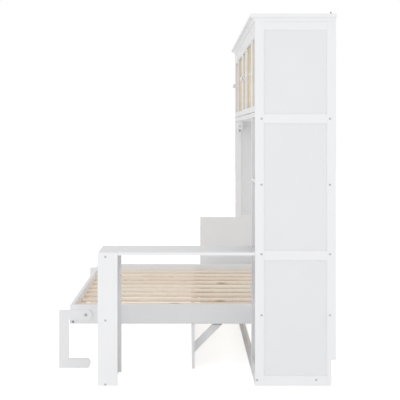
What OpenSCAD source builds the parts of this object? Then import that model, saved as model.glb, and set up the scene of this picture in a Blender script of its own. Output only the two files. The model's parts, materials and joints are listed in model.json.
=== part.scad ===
// Wall bed with a fold-down desk: a cabinet stands against the wall, a bed tips
// sideways out of its niche, and a desk leaf folds down from the shelf column.
// X runs along the wall with the desk end at +X, the wall is at +Y, Z is up.
// Inside the modules y = 0 is the plane of the cabinet's front edges and d is
// the distance from the outer face of the desk-end side, measured along -X.

/* [Cabinet] */
// Height over the crown
cab_h = 2035; // [2015:1:2100]
// Depth from the front edges to the wall
cab_d = 443; // [435:1:500]
// Thickness of the framed sides
side_t = 24; // [20:1:28]
// Thickness of the shelves, the partition and the other boards
board_t = 18; // [16:1:20]
// Thickness of the thin back panels
back_t = 5; // [4:1:8]
// Width of the shelf column, over the side and the partition
col_w = 360; // [340:1:400]
// Height of the plinth board
kick_h = 96; // [70:1:110]
// Eased edge of every board
ease = 1.2; // [0.5:0.1:2]

/* [Framed sides] */
// Width of the stiles
stile_w = 49; // [40:1:60]
// Width of the two middle rails
mid_rail_w = 51; // [40:1:60]
// Width of the top rail
top_rail_w = 46; // [40:1:60]
// Width of the bottom rail
foot_rail_w = 55; // [40:1:70]
// Thickness of the inset panels
inset_t = 6; // [4:0.5:9]
// Depth of the inset panels behind the outer face
inset_deep = 7; // [5:0.5:9]
// Depth of the grooves that hold the inset panels
groove = 8; // [5:1:12]
// Depth of the cut-out for the room's skirting board
skirt_d = 25; // [15:1:35]
// Height of that cut-out
skirt_h = 142; // [100:1:160]
// Diameter of the screw caps
cap_dia = 13; // [9:0.5:16]
// Height of the screw caps' domes
cap_rise = 1.6; // [1:0.1:3]
// Distances of the two lowest caps from the front and from the back
foot_cap_in = [11, 109]; // [10:1:140]
// Distance of the caps at the high shelf below its middle
shelf_cap_low = 17; // [0:1:30]

/* [Crown] */
// Thickness of the top board with its nosing
nosing_t = 19; // [15:1:25]
// Overhang of the nosing in front and at both sides
nosing_over = 27; // [20:1:34]
// Height of the cove moulding below it
cove_h = 22; // [18:1:28]
// Overhang of the cove moulding at its top
cove_over = 23; // [16:1:28]
// Width of the moulding strip
cove_strip = 40; // [30:1:60]
// Distance of the wall brackets from the outer faces of the sides
bracket_in = 60; // [40:5:200]
// Width of a wall bracket
bracket_w = 28; // [20:1:40]
// Length of its leg on the crown
bracket_l = 26; // [20:1:40]
// Height of its upright leg
bracket_h = 18; // [14:1:40]
// Thickness of its steel
bracket_t = 2; // [1.5:0.5:4]
// Diameter of its screw holes
bracket_hole = 5; // [4:0.5:7]
// Distance of the upright leg from the wall
bracket_back = 20; // [10:1:30]

/* [Upper cupboards] */
// Room between the bed, when it is up, and the cupboards
bed_clear = 22; // [16:1:40]
// Height of the rail below the doors
low_rail_h = 28; // [25:1:34]
// Height of the rail above the doors
high_rail_h = 45; // [30:1:60]
// Thickness of a door
door_t = 20; // [16:1:22]
// Gap around a door
door_gap = 2; // [1.5:0.5:3]
// Width of a door's stiles and rails
door_frame_w = 35; // [30:1:50]
// Thickness of the woven infill
infill_t = 3.5; // [2.5:0.5:5]
// Lap of the infill behind the door's frame
infill_lap = 5; // [3:1:8]
// Distance of the infill from the door's back
infill_back = 2.5; // [0:0.5:4]
// Bevel round the opening of a door
door_bevel = 4; // [2:0.5:5]
// Diameter of a door's pivot pins
door_pin_dia = 6; // [4:0.5:8]
// Length of a door's pivot pins
door_pin_l = 22; // [16:1:30]
// Diameter of the knobs
knob_dia = 30; // [24:1:36]
// Projection of the knobs
knob_out = 35; // [25:1:40]
// Angle by which the doors stand ajar
ajar = 0.6; // [0:0.1:2]

/* [Shelf column] */
// Top of the shelf in the desk niche
shelf_z = 1127; // [1000:1:1250]
// Top of the shelf below the desk
low_shelf_z = 405; // [300:1:500]
// Height of the apron below the desk
apron_h = 63; // [40:1:80]
// Set-back of the apron and the low shelf
set_back = 20; // [10:1:30]

/* [Desk leaf] */
// Height of the desk top
desk_z = 730; // [725:1:732]
// Length of the leaf
leaf_l = 752; // [700:1:752]
// Thickness of the leaf and the end unit's boards
leaf_t = 16; // [14:1:18]
// Inset of the leaf from the column's outer faces
leaf_in = 2; // [1:1:10]
// Depth of the end unit that carries the leaf
unit_d = 109; // [90:1:130]
// Top of the end unit's middle shelf
unit_shelf_z = 366; // [250:1:450]
// Depth of the end unit's inner panel behind its edges
unit_panel_in = 17; // [14:1:25]
// Thickness of the end unit's inner panel
unit_panel_t = 6; // [4:1:9]
// Length of a desk hinge
hinge_l = 60; // [40:1:80]
// Width of a desk hinge's flap
hinge_w = 24; // [18:1:30]
// Thickness of a desk hinge's flap
hinge_t = 1.5; // [1:0.5:2.5]
// Diameter of a desk hinge's knuckle
knuckle_dia = 8; // [6:0.5:10]
// Distance of the desk hinges from the leaf's long edges
hinge_in = 70; // [50:1:90]

/* [Bed] */
// Length over the end rails
bed_l = 1965; // [1930:1:1985]
// Width over the long rails
bed_w = 1420; // [1390:1:1422]
// Part of that width that stays in the niche
bed_in = 356; // [356:1:366]
// Gap between the end rails and the boards beside them
side_gap = 106.5; // [100:0.5:120]
// Height of the rails
rail_h = 112; // [105:1:112]
// Thickness of the rails
rail_t = 22; // [18:1:25]
// Underside of the rails above the floor
rail_z = 257; // [256:1:262]
// Height of the beams below the slats
beam_h = 56; // [50:1:60]
// Thickness of the beams
beam_t = 22; // [18:1:30]
// Number of slats
slat_n = 10; // [8:1:16]
// Width of a slat
slat_w = 90; // [55:1:100]
// Thickness of a slat
slat_t = 15; // [12:1:18]
// Side of the square ledger strips
ledger = 20; // [15:1:30]

/* [Tipping gear] */
// Pivot of the bed behind the cabinet's front edges
pivot_y = 74; // [74:1:78]
// Height of that pivot
pivot_z = 311; // [309:1:311]
// Diameter of the pivot shaft
shaft_dia = 20; // [16:1:25]
// Radial play of a shaft or a bolt in its bore
play = 0.1; // [0.05:0.01:0.2]
// Diameter of the boss round the pivot shaft
boss_dia = 44; // [34:1:56]
// Distance between the end rail and the pivot boss
boss_clear = 40; // [38:1:60]
// Side of the pivot bracket's base plate
plate_w = 90; // [84:1:140]
// Thickness of the steel plates
plate_t = 5; // [3:0.5:8]
// Distance of the lift strut's foot on the rail from the pivot
strut_arm = 140; // [110:1:160]
// Place of the strut's upper end behind the cabinet's front edges
strut_y = 330; // [300:1:360]
// Height of the strut's upper end
strut_z = 690; // [680:1:696]
// Diameter of the strut's tube
strut_dia = 22; // [18:1:24]
// Diameter of the strut's rod
rod_dia = 10; // [8:1:12]
// Distance between the end rail and the strut's centre line
strut_off = 26; // [24:1:28]
// Length of the strut outside its tube when the bed is down
strut_bare = 62; // [55:1:80]

/* [Folding board and legs] */
// Thickness of the board below the bed, the desk top when the bed is up
fold_t = 17; // [15:1:20]
// Length by which that board passes each end rail
fold_past = 40; // [20:1:70]
// Width of a brace, measured along the board
brace_w = 58; // [40:1:70]
// Height of a brace's lower corner
brace_z = 82; // [70:1:110]
// Thickness of a brace and of the swing legs
leg_t = 18; // [15:1:20]
// Width of a swing leg's members
leg_w = 57; // [50:1:64]
// Height of a swing leg
leg_h = 341; // [335:1:345]
// Radius of a swing leg's inner corners
leg_fillet = 3; // [2:0.5:10]
// Reach of a swing leg in front of the bed
leg_out = 63; // [55:1:75]
// Length of a swing leg's upper arm
leg_arm = 195; // [180:1:210]
// Length of a swing leg's foot
leg_foot = 185; // [170:1:200]
// Distance of a swing leg's pivot bolt from its outer edge
leg_pin_in = 158; // [150:1:165]
// Diameter of the pivot bolt of a swing leg
leg_pin_dia = 10; // [8:1:12]

/* [End panel and latches] */
// Reach of the far end panel in front of the cabinet
end_out = 276; // [250:1:300]
// Height of the far end panel
end_h = 722; // [700:1:730]
// Distance of the safety bolts behind the front edges
latch_y = 32; // [30:1:36]
// Distance of the safety bolts below the edge of the bed when it is up
latch_in = 19; // [17:1:21]
// Diameter of the safety bolts
latch_dia = 12; // [10:1:12]
// Travel of the safety bolts
latch_go = 26; // [22:1:28]
// Width of the block that guides a safety bolt
block_w = 40; // [34:1:50]
// Part of that block below the bolt
block_low = 22; // [18:1:32]
// Diameter of a safety bolt's handle
handle_dia = 16; // [12:1:17]
// Length of the handle below its block
handle_l = 18; // [16:1:30]

/* [Wall rails] */
// Height of a wall rail
wall_rail_h = 80; // [60:1:90]
// Centre of the middle wall rail
wall_rail_z = 730; // [650:1:800]
// Diameter of the wall fixing holes
fix_dia = 7; // [5:0.5:10]
// Distance between the two columns of wall fixing holes
fix_w = 1400; // [1200:10:1600]

/* [Hidden] */
$fn = 48;

paint = [0.91, 0.91, 0.92];
inset_paint = [0.86, 0.86, 0.87];
pine = [0.87, 0.76, 0.62];
cane = [0.83, 0.70, 0.50];
steel = [0.62, 0.63, 0.65];
grey = [0.42, 0.43, 0.45];
dark = [0.16, 0.16, 0.17];

// Overall layout
cab_w = col_w + side_gap + bed_l + side_gap + board_t + side_t;
bed_out = bed_w - bed_in;            // reach of the bed in front of the cabinet
bed_top = pivot_z + pivot_y + bed_out;   // upper edge of the bed when it is up
upper_z = bed_top + bed_clear;       // underside of the upper cupboards
reach = bed_out + leg_out;
front_y = (reach - cab_d) / 2;
near_x = cab_w / 2;
over = 1;              // how far a cutting shape passes the face that it cuts
seat = 0.3;            // gap between a moving piece and the face that it passes
side_top = cab_h - nosing_t - cove_h;
inner_d = cab_d - back_t;
near_in = side_t;                    // inner face of the near side
far_in = cab_w - side_t;             // inner face of the far side
end_in = far_in - board_t;           // face of the far end panel
bed_d0 = col_w + side_gap;           // outer face of the near end rail
bed_d1 = bed_d0 + bed_l;
bed_mid = (bed_d0 + bed_d1) / 2;

// Rails of the framed sides: lowest and highest edge of each
side_rails = [[0, foot_rail_w],
    [desk_z - leaf_t - mid_rail_w / 2, desk_z - leaf_t + mid_rail_w / 2],
    [upper_z - board_t / 2 - mid_rail_w / 2, upper_z - board_t / 2 + mid_rail_w / 2],
    [side_top - top_rail_w, side_top]];

// Doors
door_z0 = upper_z + low_rail_h + door_gap;
door_z1 = side_top - high_rail_h - door_gap;
door_h = door_z1 - door_z0;
door_axis_in = door_t / 2;
infill_deep = door_t - infill_t - infill_back;
pin_bore = door_pin_dia + 2 * play;
bay_w = (far_in - col_w - board_t) / 2;      // each of the two bays over the bed
bay_end = col_w + bay_w;
single_w = col_w - board_t - near_in - 2 * door_gap;
pair_w = (bay_w - 3 * door_gap) / 2;
// Each door: its hinge edge, +1 where it reaches away from there along d, its width
doors = [[near_in + door_gap, 1, single_w], [col_w + door_gap, 1, pair_w],
    [bay_end - door_gap, -1, pair_w], [bay_end + board_t + door_gap, 1, pair_w],
    [far_in - door_gap, -1, pair_w]];

// Bed: everything that turns with it is drawn in its rest place
rail_top = rail_z + rail_h;
slat_z = rail_z + beam_h;
fold_y = -(desk_z - pivot_z - pivot_y);   // outer face of the folding board
brace_top = rail_z - 12;
brace_run = brace_top - brace_z - brace_w;
latch_z = bed_top - latch_in;
latch_hole_y = latch_in - bed_out;
latch_hole_z = pivot_z - (pivot_y - latch_y);

// Swing legs
leg_y = -(reach);
leg_pin_y = leg_y + leg_pin_in;
leg_pin_z = leg_h - leg_w / 2;

// Lift struts, from their upper end to the foot on the rail, bed down and bed up
foot_down = [pivot_y + strut_arm, pivot_z];
foot_up = [pivot_y, pivot_z - strut_arm];
strut_down = norm(foot_down - [strut_y, strut_z]);
strut_up = norm(foot_up - [strut_y, strut_z]);
strut_tilt = atan((strut_y - foot_down[0]) / (strut_z - foot_down[1]));
strut_turn = atan((strut_y - foot_up[0]) / (strut_z - foot_up[1])) - strut_tilt;
strut_go = strut_up - strut_down;
tube_l = strut_down - strut_bare;
eye_dia = 24;
eye_t = 12;

// Desk leaf: the hinge line lies in the gap between the leaf and the column
leaf_gap = 0.5;
leaf_axis_y = -leaf_gap / 2;
unit_axis_y = -(leaf_l + leaf_gap / 2);
unit_y = -(leaf_l + leaf_gap);
unit_z = desk_z - leaf_t;
hinge_ds = [hinge_in, col_w - hinge_in];

echo(front_y = front_y, bed_d0 = bed_d0, cab_w = cab_w, upper_z = upper_z, doors = doors);
echo(strut_go = strut_go, strut_turn = strut_turn, strut_down = strut_down);

// Helpers
module place() translate([0, front_y, 0]) children();

module far_copy() translate([near_x - bed_mid, 0, 0]) mirror([1, 0, 0])
    translate([bed_mid - near_x, 0, 0]) children();

module eased(w, h, e) polygon([[e, 0], [w - e, 0], [w, e], [w, h - e],
    [w - e, h], [e, h], [0, h - e], [0, e]]);

// A board between two d, two y and two z, its edges eased along one axis
module board(d, y, z, along = "z", e = ease) {
    s = [d[1] - d[0], y[1] - y[0], z[1] - z[0]];
    translate([near_x - d[1], y[0], z[0]]) {
        if (along == "x") rotate([90, 0, 90]) linear_extrude(s.x) eased(s.y, s.z, e);
        if (along == "y") translate([0, s.y, 0]) rotate([90, 0, 0])
            linear_extrude(s.y) eased(s.x, s.z, e);
        if (along == "z") linear_extrude(s.z) eased(s.x, s.y, e);
    }
}

module box(d, y, z) translate([near_x - d[1], y[0], z[0]])
    cube([d[1] - d[0], y[1] - y[0], z[1] - z[0]]);

// An outline drawn in y and z, given a thickness from d[0] to d[1]
module slab(d) translate([near_x - d[1], 0, 0]) rotate([90, 0, 90])
    linear_extrude(d[1] - d[0]) children();

// Round bars along X, Y and Z
module rod_x(d, y, z, dia) translate([near_x - d[1], y, z]) rotate([0, 90, 0])
    cylinder(d = dia, h = d[1] - d[0]);
module rod_y(d, y, z, dia) translate([near_x - d, y[1], z]) rotate([90, 0, 0])
    cylinder(d = dia, h = y[1] - y[0]);
module rod_z(d, y, z, dia) translate([near_x - d, y, z[0]])
    cylinder(d = dia, h = z[1] - z[0]);

// Framed sides
module side_inset(k, d, lap) box(d, [stile_w - lap, cab_d - stile_w + lap],
    [side_rails[k][1] - lap, side_rails[k + 1][0] + lap]);

module side_frame(d, groove_d) {
    difference() {
        union() {
            board(d, [0, stile_w], [0, side_top]);
            board(d, [cab_d - stile_w, cab_d], [0, side_top]);
            for (r = side_rails) board(d, [stile_w, cab_d - stile_w], r, "y");
        }
        for (k = [0:2]) side_inset(k, groove_d, groove);
        box([d[0] - over, d[1] + over], [cab_d - skirt_d, cab_d + over], [-over, skirt_h]);
    }
}

near_inset = [inset_deep, inset_deep + inset_t];
far_inset = [cab_w - inset_deep - inset_t, cab_w - inset_deep];

module near_side_frame() color(paint) place() side_frame([0, side_t], near_inset);

module far_side_frame() color(paint) place() side_frame([far_in, cab_w], far_inset);

module side_panels() color(inset_paint) place()
    for (k = [0:2]) {
        side_inset(k, near_inset, groove);
        side_inset(k, far_inset, groove);
    }

// A low dome, standing on the plane of its rim
module dome(dia, rise) rotate_extrude() polygon(concat([[0, 0]],
    [for (a = [0:22.5:90]) [dia / 2 * cos(a), rise * sin(a)]]));

module cap(y, z) translate([0, y, z]) rotate([0, 90, 0]) dome(cap_dia, cap_rise);

// Screw caps: two at each shelf level, two at the foot
module side_caps() color(grey) place() {
    fore = stile_w * 0.72;
    aft = cab_d - stile_w * 0.68;
    levels = [upper_z - board_t / 2, shelf_z - board_t / 2 - shelf_cap_low, desk_z - board_t / 2,
        low_shelf_z - board_t];
    for (z = levels) for (y = [fore, aft]) {
        translate([near_x, 0, 0]) cap(y, z);
        translate([-near_x, 0, 0]) mirror([1, 0, 0]) cap(y, z);
    }
    for (y = [foot_cap_in[0], cab_d - foot_cap_in[1]]) {
        translate([near_x, 0, 0]) cap(y, foot_rail_w * 0.6);
        translate([-near_x, 0, 0]) mirror([1, 0, 0]) cap(y, foot_rail_w * 0.6);
    }
}

// Crown
// Two outlines, one across the front and one from front to wall, cross each
// other so that the moulding turns both corners with a mitre
module crown_cross(z, h, out) {
    intersection() {
        translate([0, cab_d, z]) rotate([90, 0, 0]) linear_extrude(cab_d + out)
            children(0);
        translate([-near_x - out, 0, z]) rotate([90, 0, 90])
            linear_extrude(cab_w + 2 * out) children(1);
    }
}

module crown_nosing() color(paint) place() {
    r = nosing_t * 0.32;
    w = near_x + nosing_over;
    crown_cross(side_top + cove_h, nosing_t, nosing_over) {
        union() {
            translate([-w, 0]) square([2 * w, nosing_t - r]);
            translate([-w + r, 0]) square([2 * w - 2 * r, nosing_t]);
            for (s = [-1, 1]) translate([s * (w - r), nosing_t - r]) circle(r);
        }
        union() {
            translate([-nosing_over, 0]) square([cab_d + nosing_over, nosing_t - r]);
            translate([r - nosing_over, 0]) square([cab_d + nosing_over - r, nosing_t]);
            translate([r - nosing_over, nosing_t - r]) circle(r);
        }
    }
}

module crown_cove() color(paint) place() {
    w = near_x + cove_over;
    hollow = cove_over - 2;
    difference() {
        crown_cross(side_top, cove_h, cove_over) {
            difference() {
                translate([-w, 0]) square([2 * w, cove_h]);
                for (s = [-1, 1]) translate([s * w, 0]) circle(hollow);
            }
            difference() {
                translate([-cove_over, 0]) square([cab_d + cove_over, cove_h]);
                translate([-cove_over, 0]) circle(hollow);
            }
        }
        box([cove_strip, cab_w - cove_strip], [cove_strip, cab_d + over],
            [side_top - over, side_top + cove_h + over]);
    }
}

// A steel angle on the crown, for the strap or screw that holds it to the wall
module wall_brackets() color(dark) place()
    for (d = [bracket_in, cab_w - bracket_in]) difference() {
        wide = [d - bracket_w / 2, d + bracket_w / 2];
        aft = cab_d - bracket_back;
        union() {
            box(wide, [aft - bracket_l, aft], [cab_h, cab_h + bracket_t]);
            box(wide, [aft - bracket_t, aft], [cab_h, cab_h + bracket_h]);
        }
        rod_y(d, [aft - bracket_t - over, aft + over], cab_h + bracket_h * 0.6, bracket_hole);
        rod_z(d, aft - bracket_l * 0.55, [cab_h - over, cab_h + bracket_t + over],
            bracket_hole);
    }

// Upper cupboards
module upper_boards() color(paint) place() {
    board([near_in, far_in], [board_t, inner_d], [upper_z, upper_z + board_t], "x");
    board([near_in, far_in], [board_t, inner_d], [side_top - board_t, side_top], "x");
}

module upper_face_rails() color(paint) place() difference() {
    union() {
        board([near_in, far_in], [0, board_t], [upper_z, upper_z + low_rail_h], "x");
        board([near_in, far_in], [0, board_t], [side_top - high_rail_h, side_top], "x");
    }
    for (door = doors) door_pin_shape(door, pin_bore, over);
}

module upper_dividers() color(paint) place()
    for (d = [col_w - board_t, bay_end]) slab([d, d + board_t]) polygon([
        [0, upper_z + low_rail_h], [board_t, upper_z + low_rail_h],
        [board_t, upper_z + board_t], [inner_d, upper_z + board_t],
        [inner_d, side_top - board_t], [board_t, side_top - board_t],
        [board_t, side_top - high_rail_h], [0, side_top - high_rail_h]]);

module upper_back() color(inset_paint) place()
    box([near_in, far_in], [inner_d, cab_d], [upper_z, side_top]);

// Doors
module door_pin_shape(door, dia, more) for (z = [door_z0, door_z1])
    rod_z(door[0] + door[1] * door_axis_in, door_t / 2,
        [z - door_pin_l / 2 - door_gap / 2 - more, z + door_pin_l / 2 + door_gap / 2 + more], dia);

module door_pins() color(steel) place()
    for (door = doors) door_pin_shape(door, door_pin_dia, 0);

// Places a door that is drawn with its hinge edge at x = 0, reaching along +x, and turns
// it ajar about its pins
module hang(door) translate([near_x - door[0], 0, door_z0])
    mirror([door[1] > 0 ? 1 : 0, 0, 0])
        translate([door_axis_in, door_t / 2, 0]) rotate([0, 0, -ajar])
            translate([-door_axis_in, -door_t / 2, 0]) children();

// A tapered block: two wedges cross, wide at the front and narrow behind
module bevel_block(w, h, c) intersection() {
    translate([0, 0, -over]) linear_extrude(h + 2 * over + 2 * c)
        polygon([[-c, -over], [w + c, -over], [w + c, 0], [w, c], [0, c], [-c, 0]]);
    translate([-c - over, 0, 0]) rotate([90, 0, 90]) linear_extrude(w + 2 * c + 2 * over)
        polygon([[-over, -c], [-over, h + c], [0, h + c], [c, h], [c, 0], [0, -c]]);
}

module knob() rotate([90, 0, 0]) {
    r = knob_dia / 2;
    neck = r * 0.42;
    rotate_extrude($fn = 40) polygon(concat([[0, 0], [r * 0.62, 0], [r * 0.58, 2],
        [neck, 4], [neck * 0.94, knob_out * 0.45]],
        [for (a = [-60:15:75]) [neck * 0.5 + (r - neck * 0.5) * cos(a),
            knob_out * 0.72 + knob_out * 0.27 * sin(a)]], [[0, knob_out]]));
}

module door_frame(door) color(paint) place() hang(door) {
    f = door_frame_w;
    door_w = door[2];
    difference() {
        union() {
            translate([door_t / 2, 0, 0]) cube([door_w - door_t / 2, door_t, door_h]);
            translate([door_t / 2, door_t / 2, 0]) cylinder(d = door_t, h = door_h);
        }
        translate([f, -over, f])
            cube([door_w - 2 * f, door_t + 2 * over, door_h - 2 * f]);
        translate([f - infill_lap, infill_deep, f - infill_lap])
            cube([door_w - 2 * f + 2 * infill_lap, door_t, door_h - 2 * f + 2 * infill_lap]);
        translate([f, 0, f]) bevel_block(door_w - 2 * f, door_h - 2 * f, door_bevel);
        for (z = [0, door_h]) translate([door_axis_in, door_t / 2, z - door_pin_l])
            cylinder(d = pin_bore, h = 2 * door_pin_l);
    }
    translate([door_w - f / 2, 0, door_h / 2]) knob();
}

module door_infill(door) color(cane) place() hang(door) {
    f = door_frame_w - infill_lap;
    translate([f, infill_deep, f]) cube([door[2] - 2 * f, infill_t, door_h - 2 * f]);
}

module door_1_frame() door_frame(doors[0]);
module door_2_frame() door_frame(doors[1]);
module door_3_frame() door_frame(doors[2]);
module door_4_frame() door_frame(doors[3]);
module door_5_frame() door_frame(doors[4]);
module door_1_infill() door_infill(doors[0]);
module door_2_infill() door_infill(doors[1]);
module door_3_infill() door_infill(doors[2]);
module door_4_infill() door_infill(doors[3]);
module door_5_infill() door_infill(doors[4]);

// Shelf column
module partition() color(paint) place() difference() {
    board([col_w - board_t, col_w], [0, cab_d], [0, upper_z]);
    box([col_w - board_t - over, col_w + over], [cab_d - skirt_d, cab_d + over],
        [-over, skirt_h]);
}

col_open = [near_in, col_w - board_t];

module column_shelves() color(paint) place() difference() {
    union() {
        board(col_open, [board_t, inner_d], [kick_h - board_t, kick_h], "x");
        board(col_open, [set_back, inner_d], [low_shelf_z - board_t, low_shelf_z], "x");
        board(col_open, [0, inner_d], [desk_z - board_t, desk_z], "x");
        board(col_open, [0, inner_d], [shelf_z - board_t, shelf_z], "x");
    }
    hinge_seats(leaf_axis_y, desk_z, 1);
}

module column_apron() color(paint) place()
    board(col_open, [set_back, set_back + board_t],
        [desk_z - board_t - apron_h, desk_z - board_t], "x");

module column_back() color(inset_paint) place()
    box(col_open, [inner_d, cab_d], [skirt_h, upper_z]);

module kick_board() color(paint) place() {
    board(col_open, [0, board_t], [0, kick_h], "x");
    board([col_w, end_in], [0, board_t], [0, kick_h], "x");
}

// Rails across the niche at the wall, with the holes for the wall screws
rail_levels = [upper_z - wall_rail_h / 2, wall_rail_z, skirt_h + wall_rail_h / 2];

module wall_rails() color(paint) place() difference() {
    for (z = rail_levels) board([col_w, far_in], [cab_d - board_t, cab_d],
        [z - wall_rail_h / 2, z + wall_rail_h / 2], "x");
    for (z = [rail_levels[0], rail_levels[1]]) for (s = [-1, 1])
        rod_y(bed_mid + s * fix_w / 2, [cab_d - board_t - over, cab_d + over], z, fix_dia);
}

module end_panel() color(paint) place()
    board([end_in, far_in], [-end_out, cab_d - skirt_d], [0, end_h]);

// Desk leaf and its hinges
third = hinge_l / 3;

// Flap of a desk hinge: way = 1 lies towards the wall, -1 away from it;
// up = 1 is let into a top face, -1 into an underside
module flap(y, z, way, up, l) {
    y0 = way > 0 ? y : y - hinge_w;
    z0 = up > 0 ? z - hinge_t : z;
    for (d = hinge_ds) box([d - l / 2, d + l / 2], [y0, y0 + hinge_w], [z0, z0 + hinge_t]);
}

module knuckle(y, z, from, to, dia) for (d = hinge_ds) rod_x([d + from, d + to], y, z, dia);

// The stretch of a hinge that belongs to the other flap's knuckle
module knuckle_room(y, z, from, to) {
    r = knuckle_dia / 2 + seat;
    for (d = hinge_ds) box([d + from, d + to], [y - r, y + r], [z - r, z + r]);
}

// Room for the hinges in the boards that they join
module hinge_seats(y, z, up) {
    knuckle(y, z, -hinge_l / 2 - seat, hinge_l / 2 + seat, knuckle_dia + 2 * seat);
    for (way = [-1, 1]) flap(y, z, way, up, hinge_l);
}

// Flap with the two outer knuckles and the pin
module outer_flap(y, z, way, up) {
    difference() {
        union() {
            flap(y, z, way, up, hinge_l);
            knuckle(y, z, -hinge_l / 2, hinge_l / 2, knuckle_dia);
        }
        knuckle_room(y, z, -third / 2 - seat, third / 2 + seat);
    }
    knuckle(y, z, -hinge_l / 2, hinge_l / 2, knuckle_dia / 2);
}

// Flap with the middle knuckle, bored for the pin
module inner_flap(y, z, way, up) difference() {
    union() {
        flap(y, z, way, up, hinge_l);
        knuckle(y, z, -third / 2, third / 2, knuckle_dia);
    }
    knuckle_room(y, z, -hinge_l / 2 - over, -third / 2);
    knuckle_room(y, z, third / 2, hinge_l / 2 + over);
    knuckle(y, z, -hinge_l / 2 - over, hinge_l / 2 + over, knuckle_dia / 2 + 2 * play);
}

module leaf_hinges() color(paint) place() outer_flap(leaf_axis_y, desk_z, 1, 1);

module leaf_flaps() color(paint) place() {
    inner_flap(leaf_axis_y, desk_z, -1, 1);
    outer_flap(unit_axis_y, unit_z, 1, -1);
}

module unit_flaps() color(paint) place() inner_flap(unit_axis_y, unit_z, -1, -1);

unit_out = [leaf_in, col_w - leaf_in];
unit_in = [leaf_in + leaf_t, col_w - leaf_in - leaf_t];
unit_front = unit_y - unit_d;

module desk_leaf() color(paint) place() difference() {
    board(unit_out, [unit_y + leaf_gap, -leaf_gap], [unit_z, desk_z], "y");
    hinge_seats(leaf_axis_y, desk_z, 1);
    hinge_seats(unit_axis_y, unit_z, -1);
}

// End unit: an open shelf case, which stands under the leaf's outer end
module unit_sides() color(paint) place() {
    board([unit_out[0], unit_in[0]], [unit_front, unit_y], [0, unit_z]);
    board([unit_in[1], unit_out[1]], [unit_front, unit_y], [0, unit_z]);
}

module unit_shelves() color(paint) place() difference() {
    union() {
        board(unit_out, [unit_front, unit_y], [unit_z, desk_z], "x");
        for (z = [unit_z, unit_shelf_z, leaf_t])
            board(unit_in, [unit_front, unit_y - unit_panel_in], [z - leaf_t, z], "x");
        board(unit_in, [unit_y - unit_panel_in, unit_y], [unit_z - leaf_t, unit_z], "x");
    }
    hinge_seats(unit_axis_y, unit_z, -1);
}

module unit_back() color(inset_paint) place() for (z = [[leaf_t, unit_shelf_z - leaf_t],
    [unit_shelf_z, unit_z - leaf_t]])
    box(unit_in, [unit_y - unit_panel_in - unit_panel_t, unit_y - unit_panel_in], z);

module unit_caps() color(grey) place() for (z = [unit_z, unit_shelf_z, leaf_t])
    for (s = [-1, 1]) translate([near_x - (s > 0 ? unit_out[0] : unit_out[1]), 0, 0])
        mirror([s > 0 ? 0 : 1, 0, 0])
            cap(unit_front + unit_d * 0.39, z - leaf_t / 2);

// Bed frame
module bed_end_rails() color(paint) place() difference() {
    for (d = [[bed_d0, bed_d0 + rail_t], [bed_d1 - rail_t, bed_d1]])
        board(d, [-bed_out, bed_in], [rail_z, rail_top], "y");
    for (d = [bed_d0, bed_d1 - rail_t]) {
        rod_x([d - over, d + rail_t + over], latch_hole_y, latch_hole_z, latch_dia + 4);
        rod_x([d - over, d + rail_t + over], leg_pin_y, leg_pin_z, leg_pin_dia);
        rod_x([d - over, d + rail_t + over], pivot_y, pivot_z, shaft_dia);
    }
}

module bed_long_rails() color(paint) place()
    for (y = [[-bed_out, rail_t - bed_out], [bed_in - rail_t, bed_in]])
        board([bed_d0 + rail_t, bed_d1 - rail_t], y, [rail_z, rail_top], "x");

beam_y = [fold_y + fold_t / 2, fold_y + fold_t + brace_run + brace_w / 2];

// Two beams across the bed's length and a ledger on each long rail
module slat_bearers() color(pine) place() {
    run = [bed_d0 + rail_t, bed_d1 - rail_t];
    for (y = beam_y) board(run, [y - beam_t / 2, y + beam_t / 2], [rail_z, slat_z], "x");
    for (y = [rail_t - bed_out, bed_in - rail_t - ledger])
        board(run, [y, y + ledger], [slat_z - ledger, slat_z], "x");
}

module slats() color(pine) place() {
    pitch = (bed_l - 2 * rail_t) / slat_n;
    for (k = [0:slat_n - 1]) {
        d = bed_d0 + rail_t + (k + 0.5) * pitch;
        board([d - slat_w / 2, d + slat_w / 2],
            [rail_t - bed_out + seat, bed_in - rail_t - seat], [slat_z, slat_z + slat_t], "y", 3);
    }
}

// Board that stands on the floor below the bed, and is the desk top when it is up
module fold_board() color(paint) place()
    board([bed_d0 - fold_past, bed_d1 + fold_past], [fold_y, fold_y + fold_t],
        [0, rail_z], "x", 2);

brace_ds = [bed_d0 + rail_t + 20, bed_mid - leg_t / 2, bed_d1 - rail_t - 20 - leg_t];
brace_foot = fold_y + fold_t;

module braces() color(paint) place() for (d = brace_ds) slab([d, d + leg_t])
    polygon([[brace_foot, brace_z], [brace_foot + brace_run + brace_w, brace_top],
        [brace_foot + brace_run, brace_top], [brace_foot, brace_z + brace_w]]);

// Steel angles that hold the braces to the beam and to the folding board
module brace_cleats() color(grey) place() for (d = brace_ds) {
    mid = d + leg_t / 2;
    y = brace_foot + brace_run;
    difference() {
        box([d - 12, d + leg_t + 12], [y, y + brace_w], [brace_top, rail_z]);
        for (s = [-1, 1]) rod_z(mid + s * (leg_t / 2 + 6), y + brace_w / 2,
            [brace_top - over, rail_z - 6], 5);
    }
    difference() {
        box([d + leg_t, d + leg_t + 30], [brace_foot, brace_foot + 30],
            [brace_z + 8, brace_z + brace_w - 4]);
        slab([d + leg_t - over, d + leg_t + 30 + over]) polygon([
            [brace_foot + 31, brace_z + 7], [brace_foot + 31, brace_z + 31],
            [brace_foot + 7, brace_z + 7]]);
    }
}

// Pivots of the bed
module turned(d, y, z) translate([near_x - d, y, z]) rotate([0, 90, 0]) children();

module shaft_end() {
    rod_x([bed_d0 - plate_t, bed_d0], pivot_y, pivot_z, 1.6 * boss_dia);
    rod_x([col_w + plate_t + 2, bed_d0 + rail_t], pivot_y, pivot_z, shaft_dia);
}

module pivot_shafts() color(steel) place() {
    shaft_end();
    far_copy() shaft_end();
}

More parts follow.
